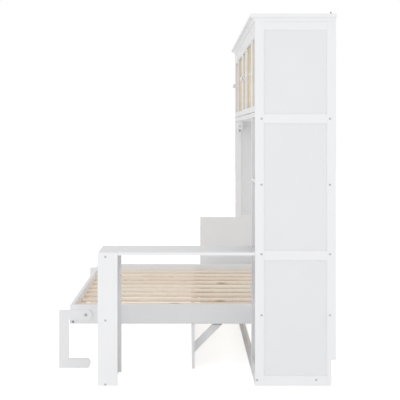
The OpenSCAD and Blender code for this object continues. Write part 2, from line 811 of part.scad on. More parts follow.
module pivot_bracket() difference() {
    union() {
        box([col_w, col_w + plate_t], [pivot_y - plate_w / 2, pivot_y + plate_w / 2],
            [pivot_z - plate_w / 2, pivot_z + plate_w / 2]);
        rod_x([col_w, bed_d0 - boss_clear], pivot_y, pivot_z, boss_dia);
        turned(col_w, pivot_y, pivot_z) mirror([0, 0, 1])
            cylinder(d1 = 1.9 * boss_dia, d2 = boss_dia, h = side_gap / 3);
    }
    rod_x([col_w + plate_t, bed_d0], pivot_y, pivot_z, shaft_dia + 2 * play);
    for (a = [-1, 1]) for (b = [-1, 1]) rod_x([col_w - over, col_w + plate_t + over],
        pivot_y + a * plate_w * 0.4, pivot_z + b * plate_w * 0.4, 6);
}

module pivot_brackets() color(steel) place() {
    pivot_bracket();
    far_copy() pivot_bracket();
}

// Lift struts
strut_d = bed_d0 - strut_off;
eye_d = [strut_d - eye_t / 2, strut_d + eye_t / 2];

module strut_bracket() {
    box([col_w, col_w + plate_t], [strut_y - eye_dia, strut_y + eye_dia],
        [strut_z - eye_dia, strut_z + eye_dia]);
    rod_x([col_w, eye_d[0] - seat], strut_y, strut_z, eye_dia * 0.8);
    rod_x([col_w, eye_d[1] + 3], strut_y, strut_z, rod_dia);
    rod_x([eye_d[1] + seat, eye_d[1] + 4], strut_y, strut_z, rod_dia * 1.6);
}

module strut_brackets() color(steel) place() {
    strut_bracket();
    far_copy() strut_bracket();
}

module strut_foot() {
    box([bed_d0 - plate_t, bed_d0], [foot_down[0] - eye_dia, foot_down[0] + eye_dia],
        [foot_down[1] - eye_dia, foot_down[1] + eye_dia]);
    rod_x([eye_d[1] + 4 + seat, bed_d0], foot_down[0], foot_down[1], eye_dia * 0.8);
}

module strut_plates() color(steel) place() {
    strut_foot();
    far_copy() strut_foot();
}

// Along the strut: the upper eye is at the origin and the rod leaves downwards
module along_strut() translate([near_x - strut_d, strut_y, strut_z])
    rotate([-strut_tilt, 0, 0]) mirror([0, 0, 1]) children();

module eye(bore) difference() {
    rotate([0, 90, 0]) cylinder(d = eye_dia, h = eye_t, center = true);
    rotate([0, 90, 0]) cylinder(d = bore, h = eye_t + 2 * over, center = true);
}

tube_z = eye_dia / 2 + 8;

module strut_tube() along_strut() {
    eye(rod_dia + 2 * play);
    difference() {
        union() {
            translate([0, 0, eye_dia / 2 - 2]) cylinder(d = rod_dia, h = tube_z);
            translate([0, 0, tube_z]) cylinder(d = strut_dia, h = tube_l);
        }
        translate([0, 0, tube_z + 15]) cylinder(d = rod_dia + 5, h = tube_l - 27);
        translate([0, 0, tube_z + 20]) cylinder(d = rod_dia + 2 * play, h = tube_l);
    }
}

module strut_rod() along_strut() {
    top = tube_z + tube_l - strut_go - 40;
    translate([0, 0, top]) cylinder(d = rod_dia, h = strut_down - top - eye_dia / 2 + 2);
    translate([0, 0, strut_down]) rotate([0, 90, 0])
        cylinder(d = eye_dia, h = eye_t, center = true);
    translate([-eye_t / 2 - 4, 0, strut_down]) rotate([0, 90, 0])
        cylinder(d = rod_dia, h = eye_t);
}

module strut_tube_near() color(grey) place() strut_tube();
module strut_tube_far() color(grey) place() far_copy() strut_tube();
module strut_rod_near() color(steel) place() strut_rod();
module strut_rod_far() color(steel) place() far_copy() strut_rod();

// Swing legs: a C-shaped board that hangs upright from its pivot bolt
module c_outline() difference() {
    arm_r = leg_w / 2;
    foot_r = leg_w * 0.42;
    union() {
        translate([leg_y, 0]) square([leg_w, leg_h]);
        translate([leg_y, leg_h - leg_w]) square([leg_arm - arm_r, leg_w]);
        translate([leg_y + leg_arm - arm_r, leg_h - arm_r]) circle(arm_r);
        translate([leg_y, 0]) square([leg_foot - foot_r, leg_w]);
        translate([leg_y, foot_r]) square([leg_foot, leg_w - 2 * foot_r]);
        for (z = [foot_r, leg_w - foot_r]) translate([leg_y + leg_foot - foot_r, z])
            circle(foot_r);
        for (z = [leg_w, leg_h - leg_w - leg_fillet]) translate([leg_y + leg_w, z])
            square(leg_fillet);
    }
    for (z = [leg_w + leg_fillet, leg_h - leg_w - leg_fillet])
        translate([leg_y + leg_w + leg_fillet, z]) circle(leg_fillet);
    translate([leg_pin_y, leg_pin_z]) circle(leg_pin_dia / 2 + play);
}

leg_d = [bed_d0 - seat - leg_t, bed_d0 - seat];

module swing_leg_near() color(paint) place() slab(leg_d) c_outline();
module swing_leg_far() color(paint) place() far_copy() slab(leg_d) c_outline();

module leg_bolt() {
    rod_x([leg_d[0] - seat, bed_d0 + rail_t], leg_pin_y, leg_pin_z, leg_pin_dia);
    translate([near_x - leg_d[0] + seat, leg_pin_y, leg_pin_z]) rotate([0, 90, 0])
        dome(leg_pin_dia * 1.9, leg_pin_dia * 0.35);
}

module leg_bolts() color(grey) place() {
    leg_bolt();
    far_copy() leg_bolt();
}

// Safety bolts that hold the bed when it is up
block_y = [latch_y - block_w / 2, latch_y + block_w / 2];
block_z = [latch_z - block_low, upper_z];
block_d = bed_d0 - 4;
stem_d = col_w + side_gap * 0.42;
stem_dia = latch_dia / 2;
handle_z = block_z[0] - handle_l;

module latch_block(wall_d) difference() {
    slot = stem_dia / 2 + over;
    board([wall_d, block_d], block_y, block_z, "x");
    rod_x([stem_d - 22, block_d + over], latch_y, latch_z, latch_dia + 2 * play);
    box([stem_d - slot, stem_d + latch_go + slot], [latch_y - slot, latch_y + slot],
        [block_z[0] - over, latch_z]);
}

module latch_blocks() color(paint) place() {
    latch_block(col_w);
    far_copy() latch_block(col_w - board_t);
}

module latch_bolt() {
    rod_x([stem_d - 20, block_d - 3], latch_y, latch_z, latch_dia);
    rod_z(stem_d, latch_y, [handle_z + handle_dia / 2, latch_z], stem_dia);
    rod_z(stem_d, latch_y, [handle_z, handle_z + handle_dia], handle_dia);
}

module latch_bolt_near() color(grey) place() latch_bolt();
module latch_bolt_far() color(grey) place() far_copy() latch_bolt();

near_side_frame();
far_side_frame();
side_panels();
partition();
crown_nosing();
crown_cove();
upper_boards();
upper_dividers();
upper_face_rails();
upper_back();
column_shelves();
column_apron();
column_back();
kick_board();
wall_rails();
end_panel();
pivot_brackets();
strut_brackets();
latch_blocks();
latch_bolt_near();
latch_bolt_far();
wall_brackets();
side_caps();
door_pins();
leaf_hinges();
bed_end_rails();
bed_long_rails();
slat_bearers();
slats();
fold_board();
braces();
brace_cleats();
pivot_shafts();
strut_plates();
leg_bolts();
swing_leg_near();
swing_leg_far();
strut_tube_near();
strut_rod_near();
strut_tube_far();
strut_rod_far();
desk_leaf();
leaf_flaps();
unit_sides();
unit_shelves();
unit_back();
unit_flaps();
unit_caps();
door_1_frame();
door_2_frame();
door_3_frame();
door_4_frame();
door_5_frame();
door_1_infill();
door_2_infill();
door_3_infill();
door_4_infill();
door_5_infill();
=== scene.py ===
import json
import math

import bpy
import numpy as np
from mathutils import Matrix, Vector

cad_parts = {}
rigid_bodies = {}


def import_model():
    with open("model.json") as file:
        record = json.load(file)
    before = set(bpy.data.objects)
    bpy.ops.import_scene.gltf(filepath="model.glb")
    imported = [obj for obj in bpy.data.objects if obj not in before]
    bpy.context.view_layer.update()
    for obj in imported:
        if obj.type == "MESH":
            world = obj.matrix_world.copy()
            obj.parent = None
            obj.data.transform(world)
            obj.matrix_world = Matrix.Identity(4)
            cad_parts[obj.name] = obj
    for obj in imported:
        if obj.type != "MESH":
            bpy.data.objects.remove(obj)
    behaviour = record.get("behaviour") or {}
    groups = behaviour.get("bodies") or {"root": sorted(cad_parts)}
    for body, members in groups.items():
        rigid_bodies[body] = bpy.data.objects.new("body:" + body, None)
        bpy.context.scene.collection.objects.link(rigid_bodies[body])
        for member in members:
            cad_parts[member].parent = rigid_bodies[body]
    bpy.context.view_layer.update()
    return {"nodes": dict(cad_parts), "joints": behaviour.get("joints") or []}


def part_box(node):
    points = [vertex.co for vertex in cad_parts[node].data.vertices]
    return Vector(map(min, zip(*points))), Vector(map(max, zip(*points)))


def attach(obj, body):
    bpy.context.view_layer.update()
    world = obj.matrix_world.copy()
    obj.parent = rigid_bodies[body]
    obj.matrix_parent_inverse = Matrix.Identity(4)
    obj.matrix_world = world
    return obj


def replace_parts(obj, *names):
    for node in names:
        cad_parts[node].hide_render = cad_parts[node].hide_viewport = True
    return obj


for leftOver in list(bpy.data.objects):
    bpy.data.objects.remove(leftOver)
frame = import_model()
nodes = frame["nodes"]
jointOf = {j["name"]: j for j in frame["joints"]}
jointPlace = {name: Vector(j["pos_m"]) for name, j in jointOf.items() if j.get("pos_m")}
print("frame loaded:", len(nodes), "nodes")


# Camera, light and floor

view = {
    "distance": 5.9,      # lens to the near framed side
    "aside": 0.358,       # lens in front of the cabinet's front edges
    "height": 1.395,
    "lens": 97.1,         # in mm, as the sensor's width
    "sensor": 36,
    "shiftX": 0.026,
    "shiftY": -0.1725,
    "farthest": 60,
}


def makeCamera():
    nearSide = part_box("near_side_frame")
    data = bpy.data.cameras.new("photoCamera")
    data.lens = view["lens"]
    data.sensor_width = view["sensor"]
    data.shift_x = view["shiftX"]
    data.shift_y = view["shiftY"]
    data.clip_end = view["farthest"]
    camera = bpy.data.objects.new("photoCamera", data)
    camera.location = (nearSide[1].x + view["distance"], nearSide[0].y - view["aside"],
                       view["height"])
    camera.rotation_euler = (math.pi / 2, 0, math.pi / 2)    # level, along -X
    bpy.context.scene.collection.objects.link(camera)
    bpy.context.scene.camera = camera


lamps = {
    # name: (place, aimed at, side of the square in m, watts)
    "sideLamp": ((8.6, -0.55, 1.4), (0.0, 0.0, 0.9), 1.6, 58),
    "wideLamp": ((5.2, -3.4, 1.6), (0.5, 0.0, 0.9), 3.0, 9),
}
sky = {"strength": 0.855}
floorLook = {"size": 60.0, "tone": 0.98, "glow": 0.53}


def makeLamps():
    for name, (place, target, side, watts) in lamps.items():
        data = bpy.data.lights.new(name, "AREA")
        data.size = side
        data.energy = watts
        lamp = bpy.data.objects.new(name, data)
        lamp.location = place
        aim = Vector(target) - Vector(place)
        lamp.rotation_euler = aim.to_track_quat("-Z", "Y").to_euler()
        bpy.context.scene.collection.objects.link(lamp)


def seenDirectly(tree):
    # 1 for rays from the camera, off a gloss or through glass, 0 for the rays that light things
    path = tree.nodes.new("ShaderNodeLightPath")
    total = path.outputs["Is Camera Ray"]
    for ray in ("Is Glossy Ray", "Is Transmission Ray"):
        most = tree.nodes.new("ShaderNodeMath")
        most.operation = "MAXIMUM"
        tree.links.new(total, most.inputs[0])
        tree.links.new(path.outputs[ray], most.inputs[1])
        total = most.outputs[0]
    return total


def makeWorld():
    world = bpy.data.worlds.new("paleStudio")
    bpy.context.scene.world = world
    world.use_nodes = True
    tree = world.node_tree
    tree.nodes.clear()
    skyLight = tree.nodes.new("ShaderNodeBackground")
    skyLight.inputs["Strength"].default_value = sky["strength"]
    backdrop = tree.nodes.new("ShaderNodeBackground")
    for background in (skyLight, backdrop):
        background.inputs["Color"].default_value = (1, 1, 1, 1)
    mix = tree.nodes.new("ShaderNodeMixShader")
    out = tree.nodes.new("ShaderNodeOutputWorld")
    tree.links.new(seenDirectly(tree), mix.inputs["Fac"])
    tree.links.new(skyLight.outputs[0], mix.inputs[1])
    tree.links.new(backdrop.outputs[0], mix.inputs[2])
    tree.links.new(mix.outputs[0], out.inputs["Surface"])


def makeFloor():
    half = floorLook["size"] / 2
    mesh = bpy.data.meshes.new("studioFloor")
    mesh.from_pydata([(-half, -half, 0), (half, -half, 0), (half, half, 0), (-half, half, 0)],
                     [], [(0, 1, 2, 3)])
    floor = bpy.data.objects.new("studioFloor", mesh)
    bpy.context.scene.collection.objects.link(floor)
    material = bpy.data.materials.new("studioFloor")
    material.use_nodes = True
    tree = material.node_tree
    tree.nodes.clear()
    matt = tree.nodes.new("ShaderNodeBsdfDiffuse")
    matt.inputs["Color"].default_value = (floorLook["tone"],) * 3 + (1,)
    glow = tree.nodes.new("ShaderNodeEmission")
    scale = tree.nodes.new("ShaderNodeMath")
    scale.operation = "MULTIPLY"
    scale.inputs[1].default_value = floorLook["glow"]
    both = tree.nodes.new("ShaderNodeAddShader")
    out = tree.nodes.new("ShaderNodeOutputMaterial")
    tree.links.new(seenDirectly(tree), scale.inputs[0])
    tree.links.new(scale.outputs[0], glow.inputs["Strength"])
    tree.links.new(matt.outputs[0], both.inputs[0])
    tree.links.new(glow.outputs[0], both.inputs[1])
    tree.links.new(both.outputs[0], out.inputs["Surface"])
    mesh.materials.append(material)


makeCamera()
makeLamps()
makeWorld()
makeFloor()
bpy.context.scene.view_settings.view_transform = "Standard"
print("camera, light and floor ready")


# Shader groups

def newGroup(name, sockets):
    group = bpy.data.node_groups.new(name, "ShaderNodeTree")
    for side, kind, label, value in sockets:
        socket = group.interface.new_socket(label, in_out=side, socket_type="NodeSocket" + kind)
        if value is not None:
            socket.default_value = value
    return group, group.nodes.new("NodeGroupInput"), group.nodes.new("NodeGroupOutput")


def addNode(tree, kind, settings=None, **inputs):
    # a node with its settings; an input is a value or another node's output
    node = tree.nodes.new("ShaderNode" + kind)
    for key, value in (settings or {}).items():
        setattr(node, key, value)
    for key, value in inputs.items():
        socket = node.inputs[int(key[2:])] if key.startswith("in") else node.inputs[key]
        if isinstance(value, bpy.types.NodeSocket):
            tree.links.new(value, socket)
        else:
            socket.default_value = value
    return node


def mathNode(tree, operation, *values):
    inputs = {"in%d" % i: value for i, value in enumerate(values)}
    return addNode(tree, "Math", {"operation": operation}, **inputs).outputs[0]


def stretched(tree, place, factors):
    return addNode(tree, "VectorMath", {"operation": "MULTIPLY"}, in0=place, in1=factors).outputs[0]


def remap(tree, value, fromLow, fromHigh, toLow, toHigh):
    node = addNode(tree, "MapRange")
    tree.links.new(value, node.inputs["Value"])
    for label, number in (("From Min", fromLow), ("From Max", fromHigh),
                          ("To Min", toLow), ("To Max", toHigh)):
        if isinstance(number, bpy.types.NodeSocket):
            tree.links.new(number, node.inputs[label])
        else:
            node.inputs[label].default_value = number
    return node.outputs[0]


noiseRange = (0.3, 0.7)    # nearly all values of a noise texture lie between these

paintFilm = {
    "cloudScale": 2.3,
    "peelScale": 260.0,
    "runScale": 38.0,
    "rampEnd": 0.9,       # tone at the dark end of the ramp, and share of the colour there
    "roughFrom": 0.97,    # tone under which the paint is at its roughest
    "specular": 0.08,
    "bump": 0.00012,
}


def sprayedPaint():
    # slow clouds of tone, and a fine orange peel for the height
    group, given, result = newGroup("sprayedPaint", [
        ("INPUT", "Vector", "Place", None), ("INPUT", "Float", "Cloud", 0.02),
        ("INPUT", "Float", "Peel", 1.0),
        ("OUTPUT", "Float", "Tone", None), ("OUTPUT", "Float", "Height", None)])
    clouds = addNode(group, "TexNoise", Vector=given.outputs["Place"],
                     Scale=paintFilm["cloudScale"], Detail=3.0)
    low = mathNode(group, "SUBTRACT", 1.0, given.outputs["Cloud"])
    tone = remap(group, clouds.outputs["Fac"], *noiseRange, low, 1.0)
    peel = addNode(group, "TexNoise", Vector=given.outputs["Place"],
                   Scale=paintFilm["peelScale"], Detail=2.0)
    runs = addNode(group, "TexNoise", Vector=given.outputs["Place"],
                   Scale=paintFilm["runScale"], Detail=1.0)
    mixed = mathNode(group, "ADD", peel.outputs["Fac"], runs.outputs["Fac"])
    group.links.new(tone, result.inputs["Tone"])
    group.links.new(mathNode(group, "MULTIPLY", mixed, given.outputs["Peel"]),
                    result.inputs["Height"])
    return group


grainShape = {
    "boardShift": (7.31, 1.73, 3.19),    # along X, Y and Z, for each board's number
    "bendStretch": (1.1, 9.0, 9.0),
    "knotStretch": (3.4, 9.0, 9.0),
    "knotEdge": (0.05, 0.17),            # where a knot starts to fade and where it ends
    "haloEdge": (0.05, 0.55),            # the same for the bend of the rings round it
    "haloAtKnot": 0.35,
    "slope": 0.6,                        # of the rings, through the board's thickness
    "ringsPerMetre": 95.0,
    "bend": 11.0,
    "haloBend": 7.0,
    "sharpness": 2.4,                    # the power that narrows the dark side of a ring
    "fibreStretch": (9.0, 620.0, 620.0),
}


def sawnGrain():
    # year rings cut lengthwise: bands across Y, stretched along X, bent by noise and knots;
    # a board's number shifts the pattern, so that no two boards are alike
    group, given, result = newGroup("sawnGrain", [
        ("INPUT", "Vector", "Place", None), ("INPUT", "Float", "Board", 0.0),
        ("OUTPUT", "Float", "Ring", None), ("OUTPUT", "Float", "Knot", None),
        ("OUTPUT", "Float", "Fibre", None), ("OUTPUT", "Float", "BoardTone", None)])
    shifts = [mathNode(group, "MULTIPLY", given.outputs["Board"], amount)
              for amount in grainShape["boardShift"]]
    shift = addNode(group, "CombineXYZ", X=shifts[0], Y=shifts[1], Z=shifts[2])
    moved = addNode(group, "VectorMath", {"operation": "ADD"},
                    in0=given.outputs["Place"], in1=shift.outputs[0]).outputs[0]
    bend = addNode(group, "TexNoise", Vector=stretched(group, moved, grainShape["bendStretch"]),
                   Scale=1.0, Detail=2.0)
    cells = addNode(group, "TexVoronoi", Vector=stretched(group, moved, grainShape["knotStretch"]),
                    Scale=1.0, Randomness=1.0)
    knot = remap(group, cells.outputs["Distance"], *grainShape["knotEdge"], 1.0, 0.0)
    halo = remap(group, cells.outputs["Distance"], *grainShape["haloEdge"],
                 grainShape["haloAtKnot"], 0.0)
    across = addNode(group, "SeparateXYZ", Vector=moved)
    depth = mathNode(group, "MULTIPLY", across.outputs["Z"], grainShape["slope"])
    line = mathNode(group, "ADD", across.outputs["Y"], depth)
    line = mathNode(group, "MULTIPLY", line, grainShape["ringsPerMetre"])
    for wave, amount in ((bend.outputs["Fac"], "bend"), (halo, "haloBend")):
        line = mathNode(group, "ADD", line,
                        mathNode(group, "MULTIPLY", wave, grainShape[amount]))
    ring = mathNode(group, "POWER", mathNode(group, "FRACT", line), grainShape["sharpness"])
    fibre = addNode(group, "TexNoise", Vector=stretched(group, moved, grainShape["fibreStretch"]),
                    Scale=1.0, Detail=2.0)
    pick = addNode(group, "TexWhiteNoise", {"noise_dimensions": "1D"}, W=given.outputs["Board"])
    group.links.new(ring, result.inputs["Ring"])
    group.links.new(knot, result.inputs["Knot"])
    group.links.new(fibre.outputs["Fac"], result.inputs["Fibre"])
    group.links.new(pick.outputs["Value"], result.inputs["BoardTone"])
    return group


brushing = {
    "along": 30.0,        # stretch of the noise
    "across": 900.0,
    "smudgeScale": 22.0,
    "smudgeRange": (0.3, 0.65),
    "dullest": 0.82,      # share of the colour in the darkest smudges
    "bump": 0.00004,
}


def fineBrushing():
    # short scratches for metal, along X of the given place
    group, given, result = newGroup("fineBrushing", [
        ("INPUT", "Vector", "Place", None), ("INPUT", "Float", "Along", brushing["along"]),
        ("OUTPUT", "Float", "Scratch", None), ("OUTPUT", "Float", "Smudge", None)])
    stretch = addNode(group, "CombineXYZ", X=given.outputs["Along"], Y=brushing["across"],
                      Z=brushing["across"])
    fine = addNode(group, "VectorMath", {"operation": "MULTIPLY"},
                   in0=given.outputs["Place"], in1=stretch.outputs[0]).outputs[0]
    scratch = addNode(group, "TexNoise", Vector=fine, Scale=1.0, Detail=3.0)
    smudge = addNode(group, "TexNoise", Vector=given.outputs["Place"],
                     Scale=brushing["smudgeScale"], Detail=3.0)
    group.links.new(scratch.outputs["Fac"], result.inputs["Scratch"])
    group.links.new(smudge.outputs["Fac"], result.inputs["Smudge"])
    return group


paintGroup = sprayedPaint()
grainGroup = sawnGrain()
brushGroup = fineBrushing()
print("shader groups ready")


# Materials

def startMaterial(name):
    material = bpy.data.materials.new(name)
    material.use_nodes = True
    tree = material.node_tree
    tree.nodes.clear()
    out = tree.nodes.new("ShaderNodeOutputMaterial")
    shader = tree.nodes.new("ShaderNodeBsdfPrincipled")
    tree.links.new(shader.outputs[0], out.inputs["Surface"])
    place = tree.nodes.new("ShaderNodeTexCoord").outputs["Object"]
    return material, tree, shader, place


def addGroup(tree, group, **inputs):
    node = tree.nodes.new("ShaderNodeGroup")
    node.node_tree = group
    for key, value in inputs.items():
        if isinstance(value, bpy.types.NodeSocket):
            tree.links.new(value, node.inputs[key])
        else:
            node.inputs[key].default_value = value
    return node


def addBump(tree, shader, height, distance):
    bump = addNode(tree, "Bump", Height=height, Distance=distance, Strength=1.0)
    tree.links.new(bump.outputs["Normal"], shader.inputs["Normal"])


def colourRamp(tree, value, stops):
    # two stops, each a position and a colour
    ramp = addNode(tree, "ValToRGB", Fac=value)
    for element, (position, colour) in zip(ramp.color_ramp.elements, stops):
        element.position = position
        element.color = (*colour, 1)
    return ramp.outputs["Color"]


def mixColour(tree, factor, base, spot):
    # the base's colour, with the spot's colour where the factor is 1
    node = addNode(tree, "Mix", {"data_type": "RGBA"})
    tree.links.new(factor, node.inputs["Factor"])
    tree.links.new(base, node.inputs[6])
    node.inputs[7].default_value = (*spot, 1)
    return node.outputs[2]


def paintMaterial(name, colour, cloud, peel, roughLow, roughHigh):
    material, tree, shader, place = startMaterial(name)
    film = addGroup(tree, paintGroup, Place=place, Cloud=cloud, Peel=peel)
    dark = tuple(c * paintFilm["rampEnd"] for c in colour)
    tone = remap(tree, film.outputs["Tone"], paintFilm["rampEnd"], 1.0, 0.0, 1.0)
    tree.links.new(colourRamp(tree, tone, [(0, dark), (1, colour)]), shader.inputs["Base Color"])
    rough = remap(tree, film.outputs["Tone"], paintFilm["roughFrom"], 1.0, roughHigh, roughLow)
    tree.links.new(rough, shader.inputs["Roughness"])
    shader.inputs["Specular IOR Level"].default_value = paintFilm["specular"]
    addBump(tree, shader, film.outputs["Height"], paintFilm["bump"])
    return material


paints = {
    # name: (linear colour, cloud, peel, least and most roughness)
    "whitePaint": ((0.888, 0.891, 0.901), 0.018, 1.0, 0.58, 0.68),
    "panelPaint": ((0.833, 0.840, 0.853), 0.022, 0.8, 0.62, 0.72),
}

pineLook = {
    "pale": (0.945, 0.855, 0.745),
    "dark": (0.83, 0.660, 0.505),
    "knot": (0.52, 0.34, 0.21),
    "ringTint": 0.42,
    "fibreTint": 0.16,
    "boardTint": 0.30,
    "darkAt": 0.9,                       # the sum of the tints at which the wood is dark
    "beamsPerMetre": 9.0,
    "roughness": (0.72, 0.58),           # between the rings and on them
    "specular": 0.3,
    "bump": 0.0006,
}


def pineMaterial(name, alongY, firstX=0.0, pitch=1.0):
    # alongY: boards that run along Y; firstX and pitch tell them apart by their place along X
    material, tree, shader, place = startMaterial(name)
    apart = addNode(tree, "SeparateXYZ", Vector=place)
    if alongY:
        lay = addNode(tree, "CombineXYZ", X=apart.outputs["Y"], Y=apart.outputs["X"],
                      Z=apart.outputs["Z"]).outputs[0]
        fromFirst = mathNode(tree, "SUBTRACT", apart.outputs["X"], firstX)
        board = mathNode(tree, "FLOOR", mathNode(tree, "DIVIDE", fromFirst, pitch))
    else:
        lay = place
        steps = mathNode(tree, "MULTIPLY", apart.outputs["Y"], pineLook["beamsPerMetre"])
        board = mathNode(tree, "FLOOR", steps)
    grain = addGroup(tree, grainGroup, Place=lay, Board=board)
    ringTint = mathNode(tree, "MULTIPLY", grain.outputs["Ring"], pineLook["ringTint"])
    fibreTint = mathNode(tree, "MULTIPLY", grain.outputs["Fibre"], pineLook["fibreTint"])
    boardTint = mathNode(tree, "MULTIPLY", grain.outputs["BoardTone"], pineLook["boardTint"])
    tint = mathNode(tree, "ADD", mathNode(tree, "ADD", ringTint, fibreTint), boardTint)
    wood = colourRamp(tree, tint, [(0.0, pineLook["pale"]), (pineLook["darkAt"], pineLook["dark"])])
    mixed = mixColour(tree, grain.outputs["Knot"], wood, pineLook["knot"])
    tree.links.new(mixed, shader.inputs["Base Color"])
    rough = remap(tree, grain.outputs["Ring"], 0.0, 1.0, *pineLook["roughness"])
    tree.links.new(rough, shader.inputs["Roughness"])
    shader.inputs["Specular IOR Level"].default_value = pineLook["specular"]
    addBump(tree, shader, fibreTint, pineLook["bump"])
    return material


caneLook = {
    "pale": (0.94, 0.83, 0.60),
    "gold": (0.82, 0.67, 0.41),
    "node": (0.40, 0.27, 0.13),
    "lineStretch": (23.0, 18.0, 1.0),    # across the strand, along it
    "lineTint": 0.6,
    "strandTint": 0.45,
    "tintRange": (0.1, 0.9),             # the tints at which the skin is pale and gold
    "nodesPerMetre": 5.5,
    "nodeShift": 9.0,
    "nodeFrom": 0.985,                   # a node starts after this share of the way to the next
    "roughness": (0.34, 0.5),
    "bump": 0.0002,
}


def caneMaterial(name):
    # split cane: shiny skin, fine lines along the strand and a darker growth node here and there
    material, tree, shader, place = startMaterial(name)
    strandMap = addNode(tree, "UVMap", {"uv_map": "strand"}).outputs["UV"]
    split = addNode(tree, "SeparateXYZ", Vector=strandMap)
    number = mathNode(tree, "FLOOR", split.outputs["X"])
    pick = addNode(tree, "TexWhiteNoise", {"noise_dimensions": "1D"}, W=number)
    lines = addNode(tree, "TexNoise", Vector=stretched(tree, strandMap, caneLook["lineStretch"]),
                    Scale=1.0, Detail=2.0)
    steps = mathNode(tree, "MULTIPLY", split.outputs["Y"], caneLook["nodesPerMetre"])
    shift = mathNode(tree, "MULTIPLY", pick.outputs["Value"], caneLook["nodeShift"])
    way = mathNode(tree, "FRACT", mathNode(tree, "ADD", steps, shift))
    onNode = mathNode(tree, "GREATER_THAN", way, caneLook["nodeFrom"])
    lineTint = mathNode(tree, "MULTIPLY", lines.outputs["Fac"], caneLook["lineTint"])
    strandTint = mathNode(tree, "MULTIPLY", pick.outputs["Value"], caneLook["strandTint"])
    low, high = caneLook["tintRange"]
    skin = colourRamp(tree, mathNode(tree, "ADD", lineTint, strandTint),
                      [(low, caneLook["pale"]), (high, caneLook["gold"])])
    mixed = mixColour(tree, onNode, skin, caneLook["node"])
    tree.links.new(mixed, shader.inputs["Base Color"])
    rough = remap(tree, lines.outputs["Fac"], *noiseRange, *caneLook["roughness"])
    tree.links.new(rough, shader.inputs["Roughness"])
    addBump(tree, shader, lines.outputs["Fac"], caneLook["bump"])
    return material


metals = {
    # name: (linear colour, metallic, least and most roughness, specular level)
    "zincSteel": ((0.60, 0.61, 0.62), 1.0, 0.28, 0.45, 0.5),
    "rodSteel": ((0.74, 0.75, 0.76), 1.0, 0.08, 0.18, 0.5),
    "whiteSteel": ((0.83, 0.835, 0.845), 0.0, 0.34, 0.46, 0.4),
    "greySteel": ((0.52, 0.53, 0.55), 0.0, 0.36, 0.50, 0.4),
    "blackSteel": ((0.030, 0.031, 0.034), 0.0, 0.36, 0.50, 0.4),
    "greyPlastic": ((0.58, 0.59, 0.61), 0.0, 0.50, 0.62, 0.3),
}


def metalMaterial(name, colour, metallic, roughLow, roughHigh, specular):
    material, tree, shader, place = startMaterial(name)
    brushed = addGroup(tree, brushGroup, Place=place)
    dull = tuple(c * brushing["dullest"] for c in colour)
    low, high = brushing["smudgeRange"]
    tone = colourRamp(tree, brushed.outputs["Smudge"], [(low, dull), (high, colour)])
    tree.links.new(tone, shader.inputs["Base Color"])
    shader.inputs["Metallic"].default_value = metallic
    shader.inputs["Specular IOR Level"].default_value = specular
    rough = remap(tree, brushed.outputs["Scratch"], *noiseRange, roughLow, roughHigh)
    tree.links.new(rough, shader.inputs["Roughness"])
    addBump(tree, shader, brushed.outputs["Scratch"], brushing["bump"])
    return material


slat = {
    "count": 10,
    "width": 0.090,
    "margin": 0.005,      # a slat's own grain starts this much before it
}
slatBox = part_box("slats")
slatPitch = (slatBox[1].x - slatBox[0].x - slat["width"]) / (slat["count"] - 1)
materials = {name: paintMaterial(name, *look) for name, look in paints.items()}
materials.update({name: metalMaterial(name, *look) for name, look in metals.items()})
materials["slatPine"] = pineMaterial("slatPine", True, slatBox[0].x - slat["margin"], slatPitch)
materials["beamPine"] = pineMaterial("beamPine", False)
materials["splitCane"] = caneMaterial("splitCane")

finishOf = {
    "panelPaint": ["side_panels", "upper_back", "column_back", "unit_back"],
    "slatPine": ["slats"],
    "beamPine": ["slat_bearers"],
    "zincSteel": ["pivot_brackets", "strut_brackets", "door_pins", "pivot_shafts",
                  "strut_plates"],
    "whiteSteel": ["leaf_hinges", "leaf_flaps", "unit_flaps"],
    "rodSteel": ["strut_rod_near", "strut_rod_far"],
    "greySteel": ["brace_cleats", "leg_bolts", "strut_tube_near", "strut_tube_far",
                  "latch_bolt_near", "latch_bolt_far"],
    "blackSteel": ["wall_brackets"],
    "greyPlastic": ["side_caps", "unit_caps"],
}
nodeFinish = {node: finish for finish, members in finishOf.items() for node in members}
for nodeName, nodeObject in nodes.items():
    nodeObject.data.materials.clear()
    nodeObject.data.materials.append(materials[nodeFinish.get(nodeName, "whitePaint")])
print("materials ready:", len(materials))


columnBottom = {
    "under": 0.097,       # the bottom board lies below this
    "shorter": 0.020,     # it ends where the sides' cut-out for the skirting board starts
    "backEdge": 0.006,    # depth of the end that is moved
}


def trimColumnBottom():
    # the column's boards once more, with the bottom one shorter at its back
    mesh = nodes["column_shelves"].data.copy()
    mesh.name = "columnShelves"
    points = np.empty(len(mesh.vertices) * 3, np.float32)
    mesh.vertices.foreach_get("co", points)
    points = points.reshape(-1, 3)
    back = points[:, 1].max() - columnBottom["backEdge"]
    moved = (points[:, 2] < columnBottom["under"]) & (points[:, 1] > back)
    points[moved, 1] -= columnBottom["shorter"]
    mesh.vertices.foreach_set("co", points.ravel())
    mesh.update()
    piece = bpy.data.objects.new("columnShelves", mesh)
    bpy.context.scene.collection.objects.link(piece)
    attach(piece, "cabinet")
    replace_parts(piece, "column_shelves")
    print("column's bottom board shortened:", int(moved.sum()), "points moved")


trimColumnBottom()


# Surfaces

def gridFaces(rows, columns, closedRows=False, closedColumns=False):
    # quads between neighbouring points of a grid that is stored row by row
    r = np.arange(rows if closedRows else rows - 1)
    c = np.arange(columns if closedColumns else columns - 1)
    r, c = np.meshgrid(r, c, indexing="ij")
    nextR, nextC = (r + 1) % rows, (c + 1) % columns
    quads = np.stack([r * columns + c, r * columns + nextC,
                      nextR * columns + nextC, nextR * columns + c], axis=-1)
    return quads.reshape(-1, 4)


